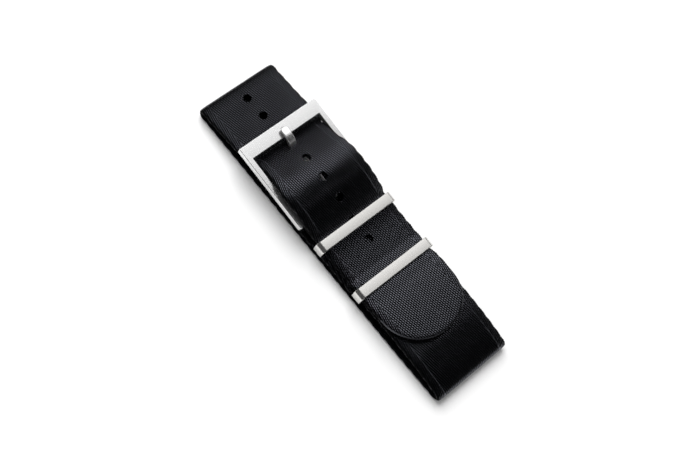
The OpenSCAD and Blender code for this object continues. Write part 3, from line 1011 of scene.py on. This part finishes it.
# %% Geometry Nodes helpers
def new_tree(name, **inputs):
    """An empty Geometry Nodes tree that takes and gives geometry."""
    tree = bpy.data.node_groups.new(name, "GeometryNodeTree")
    tree.interface.new_socket("Geometry", in_out="INPUT", socket_type="NodeSocketGeometry")
    for label, kind in inputs.items():
        label = label.replace("_", " ")
        tree.interface.new_socket(label, in_out="INPUT", socket_type="NodeSocket" + kind)
    tree.interface.new_socket("Geometry", in_out="OUTPUT", socket_type="NodeSocketGeometry")
    return tree, add(tree, "NodeGroupInput").outputs, add(tree, "NodeGroupOutput")


def end_tree(tree, given, result, geometry):
    """Realizes the instances, smooths them and gives them their material."""
    for kind in ("GeometryNodeRealizeInstances", "GeometryNodeSetShadeSmooth", "GeometryNodeSetMaterial"):
        last = add(tree, kind)
        feed(last.inputs[0], geometry)
        geometry = last.outputs[0]
    wire(last, Material=given["Material"])
    feed(result.inputs[0], geometry)


def thread_along(curve, radius, sides):
    """A round thread along a curve, with closed ends."""
    tree = curve.id_data
    profile = add(tree, "GeometryNodeCurvePrimitiveCircle")
    wire(profile, Resolution=sides, Radius=radius)
    tube = add(tree, "GeometryNodeCurveToMesh")
    wire(tube, Curve=curve, Profile_Curve=profile.outputs["Curve"], Fill_Caps=True)
    return tube.outputs["Mesh"]


def bow(tree, radius, start, sweep):
    """A curve that follows an arc, with its angles in degrees."""
    node = add(tree, "GeometryNodeCurveArc")
    start, sweep = math.radians(start), math.radians(sweep)
    wire(node, Resolution=9, Radius=radius, Start_Angle=start, Sweep_Angle=sweep)
    return node.outputs["Curve"]


def grow(name, tree, guide, values):
    """Runs a tree on a guide mesh and returns what it makes as a plain mesh."""
    source = show(name + "_guide", guide)
    modifier = source.modifiers.new(name, "NODES")
    modifier.node_group = tree
    for item in tree.interface.items_tree:
        if item.in_out == "INPUT" and item.name in values:
            modifier[item.identifier] = values[item.name]
    mesh = applied(source, name)
    bpy.data.meshes.remove(guide)
    return mesh


# %% Selvage tree
TURN_HEIGHT = 2.3
SWELL = 0.16
SMALLEST = 0.88
selvage_tree, given, result = new_tree(
    "selvage_turns",
    Pitch="Float",
    Reach="Float",
    Thread="Float",
    Scallop="Float",
    Seed="Int",
    Material="Material",
)
tree = selvage_tree
walk = add(tree, "GeometryNodeResampleCurve")
walk.mode = "LENGTH"
guide_curve = wire(add(tree, "GeometryNodeMeshToCurve"), Mesh=given["Geometry"])
wire(walk, Curve=guide_curve.outputs[0], Length=given["Pitch"])
thin = calc("DIVIDE", given["Thread"], given["Reach"])
turn = thread_along(bow(tree, 1.0, -82, 164), thin, 6)
away = add(tree, "GeometryNodeInputNamedAttribute", data_type="FLOAT_VECTOR")
wire(away, Name="away")
face_out = add(tree, "FunctionNodeAlignRotationToVector", axis="X")
wire(face_out, Vector=away.outputs["Attribute"])
face_along = add(tree, "FunctionNodeAlignRotationToVector", axis="Z", pivot_axis="X")
tangent = add(tree, "GeometryNodeInputTangent").outputs["Tangent"]
wire(face_along, Rotation=face_out.outputs["Rotation"], Vector=tangent)
walked = times(add(tree, "GeometryNodeSplineParameter").outputs["Length"], math.pi)
wave = calc("ABSOLUTE", calc("SINE", calc("DIVIDE", walked, given["Scallop"])))
swell = plus(times(wave, SWELL), SMALLEST)
uneven = add(tree, "FunctionNodeRandomValue", data_type="FLOAT")
feed(uneven.inputs[2], 0.95)
feed(uneven.inputs[3], 1.04)
wire(uneven, Seed=given["Seed"])
size = add(tree, "ShaderNodeCombineXYZ")
wire(size, X=times(swell, uneven.outputs[1], given["Reach"]))
wire(size, Y=given["Reach"], Z=times(given["Reach"], TURN_HEIGHT))
scatter = add(tree, "GeometryNodeInstanceOnPoints")
wire(scatter, Points=walk.outputs["Curve"], Instance=turn)
wire(scatter, Rotation=face_along.outputs["Rotation"], Scale=size.outputs["Vector"])
end_tree(tree, given, result, scatter.outputs[0])

# %% Selvage thread
thread_black, tree, shader = new_material("black_nylon_thread")
where = object_place(tree)
cloud = use_group(tree, mottle, Place=where, Patches=900.0, Contrast=0.2)["Value"]
twist = add(tree, "ShaderNodeTexWave", wave_type="BANDS", bands_direction="DIAGONAL")
twist = wire(twist, Scale=2600.0, Distortion=1.5, Vector=where).outputs["Fac"]
thread_colour = mix_colour(twist, (0.001, 0.001, 0.0012, 1), (0.003, 0.003, 0.0038, 1))
wire(shader, Base_Color=thread_colour, Roughness=plus(cloud, 0.55), Specular_IOR_Level=0.06)
roughen(shader, twist, 0.6, 0.02)

# %% Grow the selvage
guide_s = np.arange(TIP_R + 0.4, band_length - 0.3, 0.1)
guide_points = []
guide_edges = []
guide_away = []
for side in (-1, 1):
    line = fold(guide_s, side * (edge_at(guide_s) - EDGE_R + 0.02), 0)
    first = len(guide_points)
    guide_points.extend((line * MM).tolist())
    guide_edges.extend((first + i, first + i + 1) for i in range(len(line) - 1))
    guide_away.extend([(0, side, 0)] * len(line))
guide = bpy.data.meshes.new("selvage_guide")
guide.from_pydata(guide_points, guide_edges, [])
set_attribute(guide, "away", guide_away, "FLOAT_VECTOR")
selvage_values = {
    "Pitch": SCALLOP / 5 * MM,
    "Reach": 0.36 * MM,
    "Thread": 0.1 * MM,
    "Scallop": SCALLOP * MM,
    "Seed": 7,
    "Material": thread_black,
}
selvage_mesh = grow("selvage_turns", selvage_tree, guide, selvage_values)
selvage = put("selvage_turns", selvage_mesh, thread_black, "strap", "webbing")

# %% [markdown]
# ## Steel
#
# The buckle and the keepers are stainless steel with a fine satin finish: flat faces with a soft,
# even glow, faint lines from the polishing belt, and edges that the tumbling drum has rounded and
# left brighter. A belt's lines run one way, so the grain group stretches a fine noise along one
# direction. The edge mask is an attribute that the modelling leaves on the bevels.

# %% Grain group
grain, given, result = new_group("belt_grain", {"Stretch": None, "Lines": 9000.0}, "Value")
stretched = vector_math("MULTIPLY", given["Place"], given["Stretch"])[0]
lines = noise(stretched, given["Lines"], 2.0)["Fac"]
wire(result, Value=calc("SUBTRACT", lines, 0.5))

# %% Steel materials
LINE_DEPTH = 0.0004
CLOUDINESS = 0.03
EDGE_SHINE = 0.05


def steel(name, grey, roughness, stretch, metal):
    """Satin steel with its belt lines stretched along one direction."""
    material, tree, shader = new_material(name)
    where = object_place(tree)
    edge = attribute(tree, "edge")["Fac"]
    belt = use_group(tree, grain, Place=where, Stretch=stretch)["Value"]
    cloud = use_group(tree, mottle, Place=where, Patches=420.0, Contrast=CLOUDINESS)["Value"]
    bright = (*(min(1.0, c * (1 + EDGE_SHINE)) for c in grey), 1)
    dull = (*(c * (1 - EDGE_SHINE) for c in grey), 1)
    tone = plus(plus(times(belt, 0.6), 0.5), cloud)
    lined = mix_colour(tone, dull, bright)
    wire(shader, Base_Color=mix_colour(edge, lined, bright), Metallic=metal)
    varied = plus(times(belt, 0.08), roughness)
    worn = times(edge, -0.08)
    wire(shader, Roughness=plus(plus(varied, worn), cloud))
    roughen(shader, belt, 0.5, LINE_DEPTH)
    return material


ALONG_X = (0.04, 1.0, 1.0)
ALONG_Y = (1.0, 0.04, 1.0)
# Painted light: the frame and the tongue are given a lighter grey than the keepers, though all are the same
# satin steel, for the brighter reflection they show.
frame_steel = steel("satin_frame_steel", (0.83, 0.83, 0.83), 0.3, ALONG_Y, 0.9)
tongue_steel = steel("satin_tongue_steel", (0.9, 0.9, 0.9), 0.28, ALONG_X, 0.9)
keeper_steel = steel("satin_keeper_steel", (0.66, 0.65, 0.63), 0.3, ALONG_Y, 0.9)
bar_steel = steel("turned_bar_steel", (0.6, 0.6, 0.6), 0.24, ALONG_X, 0.8)
spring_steel = steel("drawn_spring_steel", (0.5, 0.5, 0.52), 0.28, ALONG_Y, 0.8)
print("steels:", frame_steel.name, keeper_steel.name)

# %% [markdown]
# ## The buckle's frame
#
# The frame is a flat U of steel: a wide front bar and two rails whose rear ends are round. Its
# outline is drawn once, pulled up to its thickness, and its rims are bevelled. The bevel operator
# hands back its new faces, which is how the edge mask is made. The rails get the blind holes that
# the hinge bar's tips stand in.

# %% Outlines
def round_corner(corner, before, after, radius, count):
    """Points of the arc that rounds a corner of a polygon."""
    corner, before, after = (np.array(p, float) for p in (corner, before, after))
    to_before = (before - corner) / np.linalg.norm(before - corner)
    to_after = (after - corner) / np.linalg.norm(after - corner)
    half = math.acos(np.clip(to_before @ to_after, -1, 1)) / 2
    inwards = (to_before + to_after) / np.linalg.norm(to_before + to_after)
    centre = corner + inwards * radius / math.sin(half)
    start = corner + to_before * radius / math.tan(half)
    end = corner + to_after * radius / math.tan(half)
    a = math.atan2(*(start - centre)[::-1])
    b = math.atan2(*(end - centre)[::-1])
    sweep = (b - a + math.pi) % (2 * math.pi) - math.pi
    angles = (a + sweep * t for t in np.linspace(0, 1, count))
    return [tuple(centre + radius * np.array([math.cos(q), math.sin(q)])) for q in angles]


def rounded(corners, radii, count=7):
    """A polygon with each corner rounded by its own radius."""
    points = []
    for i, corner in enumerate(corners):
        after = corners[(i + 1) % len(corners)]
        points.extend(round_corner(corner, corners[i - 1], after, radii[i], count))
    return points


def rounded_box(low, high, radius, count):
    """A rectangle with round corners, from two opposite corners."""
    corners = [low, (high[0], low[1]), high, (low[0], high[1])]
    return rounded(corners, [radius] * 4, count)


def skin(work, loops, closed=True):
    """Joins equally long loops of points with quads. Closed means that the last meets the first."""
    loops = [[work.verts.new(p) for p in loop] for loop in loops]
    n = len(loops[0])
    for first, second in zip(loops, loops[1:] + loops[:closed]):
        for i in range(n):
            j = (i + 1) % n
            work.faces.new((first[i], first[j], second[j], second[i]))
    if not closed:
        work.faces.new(loops[0])
        work.faces.new(list(reversed(loops[-1])))
    bmesh.ops.recalc_face_normals(work, faces=work.faces)
    return loops


def bevel_rims(work, rims, width, segments=3):
    """Rounds the edges and marks the points of the bevel's faces in the edge attribute."""
    mask = work.verts.layers.float.new("edge")
    shape = dict(offset=width, segments=segments, profile=0.5, affect="EDGES", clamp_overlap=True)
    for face in bmesh.ops.bevel(work, geom=rims, **shape)["faces"]:
        for vert in face.verts:
            vert[mask] = 1.0


def loop_edges(work, loops):
    """The edges that run along the loops, and not from one to the next."""
    members = [set(loop) for loop in loops]
    return [e for e in work.edges if any(e.verts[0] in m and e.verts[1] in m for m in members)]


def to_mesh(work, name, matrix=None):
    """Turns a bmesh in millimetres into a mesh in metres."""
    if matrix is not None:
        bmesh.ops.transform(work, matrix=matrix, verts=work.verts)
    bmesh.ops.scale(work, vec=(MM, MM, MM), verts=work.verts)
    mesh = bpy.data.meshes.new(name)
    work.to_mesh(mesh)
    work.free()
    return mesh


def combine(name, mesh, operation, *others):
    """An exact boolean of a closed mesh with others."""
    body = show("body", mesh)
    helpers = [show("helper", other) for other in others]
    for helper in helpers:
        modifier = body.modifiers.new("combine", "BOOLEAN")
        modifier.operation = operation
        modifier.solver = "EXACT"
        modifier.object = helper
    return applied(body, name, *helpers)


# %% Frame
open_w = 18.9
rail_w = 1.3
rail_tail = 2.2
front_bar_w = front_inner_x - front_x
reach = (bar_x - front_x) / math.cos(frame_tilt)
RIM = 0.15

half_out, half_in = open_w / 2 + rail_w, open_w / 2
inner_end = -reach + front_bar_w
half_frame = [(-reach, half_out), (rail_tail, half_out), (rail_tail, half_in), (inner_end, half_in)]
frame_corners = [(x, -y) for x, y in half_frame] + half_frame[::-1]
end_r = rail_w / 2 - 0.01
half_radii = [0.2, end_r, end_r, 0.16]
frame_outline = rounded(frame_corners, half_radii + half_radii[::-1])
work = bmesh.new()
cap = work.faces.new([work.verts.new((x, y, -frame_t / 2)) for x, y in frame_outline])
pulled = bmesh.ops.extrude_face_region(work, geom=[cap])
top_verts = [g for g in pulled["geom"] if isinstance(g, bmesh.types.BMVert)]
bmesh.ops.translate(work, vec=(0, 0, frame_t), verts=top_verts)
bevel_rims(work, [e for e in work.edges if abs(e.verts[0].co.z - e.verts[1].co.z) < 1e-6], RIM)
in_frame = Matrix.Translation((bar_x, 0, bar_z)) @ Matrix.Rotation(frame_tilt, 4, "Y")
frame_mesh = to_mesh(work, "frame_steel", in_frame)

bore_r = 0.39
bore_depth = 0.85
bores = []
for side in (-1, 1):
    work = bmesh.new()
    cone = dict(cap_ends=True, segments=32, radius1=bore_r, radius2=bore_r, depth=2 * bore_depth)
    bmesh.ops.create_cone(work, **cone)
    turned = Matrix.Translation((bar_x, side * half_in, bar_z)) @ Matrix.Rotation(math.pi / 2, 4, "X")
    bores.append(to_mesh(work, "bore", turned))
frame_mesh = combine("frame_steel_cut", frame_mesh, "DIFFERENCE", *bores)
on_frame = ("buckle", "frame_steel", "buckle_frame")
put("buckle_frame_steel", frame_mesh, frame_steel, *on_frame, smooth_angle=32, level=True)

# %% [markdown]
# ## The tongue
#
# The tongue is a bent steel bar with a flat top and rounded flanks. Its tip lies on the front bar,
# its shaft goes down through the webbing and back under it, and its end is an eye round the hinge
# bar. A section is swept along its route. Towards the tip the section narrows like a half circle,
# so the tip is round from above. The eye is a short tube, joined to the shaft by a boolean.

# %% Tongue
tongue_h = 0.5
tongue_low = box_mm("buckle_tongue")[0]
tongue_tip_x = tongue_low.x + 0.35
tongue_rest = frame_top(tongue_tip_x) + 0.06 + tongue_h
tongue_under_x = tongue_hole_x + hole_pitch
tongue_under = float(np.interp(tongue_under_x, *tail_line[::-1].T)) - half_t - tongue_h - 0.6
tongue_knots = [
    (tongue_tip_x, tongue_rest),
    *near(front_inner_x, tongue_rest, (-0.55, 0.04), (0.1, 0.01), (0.7, -0.05), (1.2, -0.24)),
    *near(front_inner_x, tongue_rest, (1.6, -0.58), (2.0, -1.12), (2.4, -1.85)),
    *near(tongue_hole_x, tongue_under, (1.75, -0.61), (2.6, -0.93), (3.8, -0.62)),
    *near(tongue_under_x, tongue_under, (-0.5, -0.2), (0.8, 0), (3, 0)),
    (bar_x - 3, bar_z + 0.5),
    (bar_x - bar_d / 2 - 0.2, bar_z + 0.3),
]
route = soften(even_steps(smooth_curve(tongue_knots), 0.08), 4)
route_at = lengths_along(route)
nose_steps = 1 - np.cos(np.linspace(0, np.pi / 2, 9))
steps_along = np.concatenate([nose_steps, np.arange(1.2, route_at[-1], 0.22), [route_at[-1]]])
SECTION = rounded_box((-1, -1), (1, 1), 0.27, 5)


def route_place(at):
    """The route's x and z at a distance from the tip."""
    return np.array([np.interp(at, route_at, route[:, k]) for k in (0, 1)])


def tongue_ring(at):
    """The tongue's section at a distance from its tip."""
    x, z = route_place(at)
    dx, dz = route_place(at + 0.05) - route_place(at - 0.05)
    length = math.hypot(dx, dz)
    nose = math.sqrt(max(1 - (1 - min(at / (tongue_w / 2), 1)) ** 2, 0.0009))
    tall = 0.8 + 0.2 * nose
    ring = []
    for w, n in SECTION:
        up_x, up_z = -dz / length * n * tongue_h * tall, dx / length * n * tongue_h * tall
        ring.append((x + up_x, w * tongue_w / 2 * nose, z + up_z))
    return ring


work = bmesh.new()
skin(work, [tongue_ring(at) for at in steps_along], closed=False)
shaft_mesh = to_mesh(work, "tongue_shaft")


# %% The tongue's eye
def circle_points(radius, y, count=48):
    """Points on a circle round the Y axis."""
    angles = [2 * math.pi * i / count for i in range(count)]
    return [(radius * math.cos(a), y, radius * math.sin(a)) for a in angles]


eye_outer, eye_inner = bar_d / 2 + 0.58, bar_d / 2 + 0.03
eye_corners = ((eye_outer, -1), (eye_outer, 1), (eye_inner, 1), (eye_inner, -1))
work = bmesh.new()
loops = skin(work, [circle_points(r, side * tongue_w / 2) for r, side in eye_corners])
bevel_rims(work, loop_edges(work, loops), 0.1, 2)
eye_mesh = to_mesh(work, "tongue_eye", Matrix.Translation((bar_x, 0, bar_z)))
tongue_mesh = combine("tongue_steel", shaft_mesh, "UNION", eye_mesh)
on_tongue = ("tongue", "tongue_steel", "buckle_tongue")
put("buckle_tongue_steel", tongue_mesh, tongue_steel, *on_tongue, smooth_angle=40, level=True)

# %% [markdown]
# ## The keepers
#
# Each keeper is a flat steel strip bent into a ring: a straight top, round corners and a straight
# floor. Outer and inner outlines have the same number of points, so plain quads join them, and
# the four rims are bevelled. They hang on the webbing, so they lie to the right as it does, and
# the front one leans.

# %% Keepers
keeper_top = 0.8
keeper_side = 0.7
KEEPER_OUTER_R = 1.3
KEEPER_INNER_R = 0.3
KEEPER_RIM = 0.16


def keeper_mesh(name, low, high, lean):
    """A flat ring as big as the keeper's box in the frame. Its lean along the strap is in degrees."""
    low, high = (corner + Vector((0, KEEPER_DRIFT, 0)) for corner in (low, high))
    inner_low = (low.y + keeper_side, low.z + keeper_floor)
    inner_high = (high.y - keeper_side, high.z - keeper_top)
    outer = rounded_box((low.y, low.z), (high.y, high.z), KEEPER_OUTER_R, 9)
    inner = rounded_box(inner_low, inner_high, KEEPER_INNER_R, 9)
    work = bmesh.new()
    outlines = ((outer, low.x), (outer, high.x), (inner, high.x), (inner, low.x))
    loops = skin(work, [[(x, y, z) for y, z in outline] for outline, x in outlines])
    bevel_rims(work, loop_edges(work, loops), KEEPER_RIM)
    middle = Matrix.Translation((low + high) / 2)
    return to_mesh(work, name, middle @ Matrix.Rotation(math.radians(lean), 4, "Y") @ middle.inverted())


front_ring = keeper_mesh("keeper_front_steel", ring_low, ring_high, 1.8)
rear_ring = keeper_mesh("keeper_rear_steel", rear_low, rear_high, 0.2)
as_front = ("front_keeper", "keeper_steel", "keeper_front")
as_rear = ("rear_keeper", "keeper_steel", "keeper_rear")
put("keeper_front_steel", front_ring, keeper_steel, *as_front, smooth_angle=32, level=True)
put("keeper_rear_steel", rear_ring, keeper_steel, *as_rear, smooth_angle=32, level=True)

# %% [markdown]
# ## The hinge bar's insides and the sewing
#
# The hinge bar is a thin tube with a spring between two plungers. Its tube and plungers are right
# as the engineering model has them and only need their steel. The spring is a real coil, and the
# loop's seam is real thread, so both come from Geometry Nodes: a spiral with a round profile, and
# one bent stitch set on the points of a grid.

# %% Bar, plungers and coil
for node in ("bar_tube", "bar_plunger_left", "bar_plunger_right"):
    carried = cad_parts[node].data
    carried.materials.clear()
    carried.materials.append(bar_steel)

spring_low, spring_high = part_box("bar_spring")
WIRE = 0.15 * MM
tree, given, result = new_tree(
    "coil_spring",
    Length="Float",
    Coil_Radius="Float",
    Wire_Radius="Float",
    Turns="Float",
    Centre="Vector",
    Material="Material",
)
spiral = add(tree, "GeometryNodeCurveSpiral")
wire(spiral, Resolution=14, Rotations=given["Turns"], Height=given["Length"])
wire(spiral, Start_Radius=given["Coil Radius"], End_Radius=given["Coil Radius"])
lay = add(tree, "GeometryNodeTransform")
wire(lay, Geometry=thread_along(spiral.outputs[0], given["Wire Radius"], 8))
wire(lay, Rotation=(math.radians(-90), 0, 0), Translation=given["Centre"])
end_tree(tree, given, result, lay.outputs[0])
coil_values = {
    "Length": spring_high.y - spring_low.y - WIRE,
    "Coil Radius": (spring_high.z - spring_low.z - WIRE) / 2,
    "Wire Radius": WIRE / 2,
    "Turns": 30.0,
    "Centre": (bar_x * MM, spring_low.y + WIRE / 2, bar_z * MM),
    "Material": spring_steel,
}
coil_mesh = grow("coil_spring", tree, bpy.data.meshes.new("spring_guide"), coil_values)
put("coil_spring", coil_mesh, spring_steel, "bar", "spring_steel", "bar_spring")

# %% Stitches
STITCH_BOW = 0.32
SWAY = 0.06
SEAM_SINK = 0.12
tree, given, result = new_tree(
    "seam",
    Rows="Int",
    Row_Pitch="Float",
    Stitches="Int",
    Stitch_Pitch="Float",
    Stitch_Length="Float",
    Thread="Float",
    Seed="Int",
    Material="Material",
)
rows_wide = times(given["Row Pitch"], calc("SUBTRACT", given["Rows"], 1.0))
row_long = times(given["Stitch Pitch"], calc("SUBTRACT", given["Stitches"], 1.0))
grid = add(tree, "GeometryNodeMeshGrid")
wire(grid, Size_X=rows_wide, Size_Y=row_long, Vertices_X=given["Rows"], Vertices_Y=given["Stitches"])
thin = calc("DIVIDE", given["Thread"], given["Stitch Length"])
stand = add(tree, "GeometryNodeTransform")
wire(stand, Geometry=thread_along(bow(tree, 0.5, 0, 180), thin, 8))
wire(stand, Rotation=(math.radians(90), 0, math.radians(90)), Scale=(1.0, STITCH_BOW, 1.0))
sway = add(tree, "FunctionNodeRandomValue", data_type="FLOAT_VECTOR")
feed(sway.inputs[0], (0.0, 0.0, -SWAY))
feed(sway.inputs[1], (0.0, 0.0, SWAY))
wire(sway, Seed=given["Seed"])
scatter = add(tree, "GeometryNodeInstanceOnPoints")
wire(scatter, Points=grid.outputs["Mesh"], Instance=stand.outputs["Geometry"])
wire(scatter, Rotation=sway.outputs[0], Scale=given["Stitch Length"])
end_tree(tree, given, result, scatter.outputs[0])

stitch_low, stitch_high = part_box("loop_stitching")
seam_x = ((stitch_low + stitch_high) / 2).x
seam_values = {
    "Rows": 2,
    "Row Pitch": 1.1 * MM,
    "Stitches": 9,
    "Stitch Pitch": 1.7 * MM,
    "Stitch Length": 1.35 * MM,
    "Thread": 0.13 * MM,
    "Material": thread_black,
}
above_seam = sewn_high_z + half_t - SEAM_SINK
below_seam = sewn_low_z - half_t + SEAM_SINK
both_sides = bmesh.new()
for seed, height, flip in ((3, above_seam, 0), (4, below_seam, math.pi)):
    seam = grow("seam", tree, bpy.data.meshes.new("seam_guide"), {**seam_values, "Seed": seed})
    seam.transform(Matrix.Translation((seam_x, 0, height * MM)) @ Matrix.Rotation(flip, 4, "Y"))
    both_sides.from_mesh(seam)
seam_mesh = bpy.data.meshes.new("loop_seam")
both_sides.to_mesh(seam_mesh)
both_sides.free()
seam_piece = put("loop_seam", seam_mesh, thread_black, "strap", "thread", "loop_stitching")
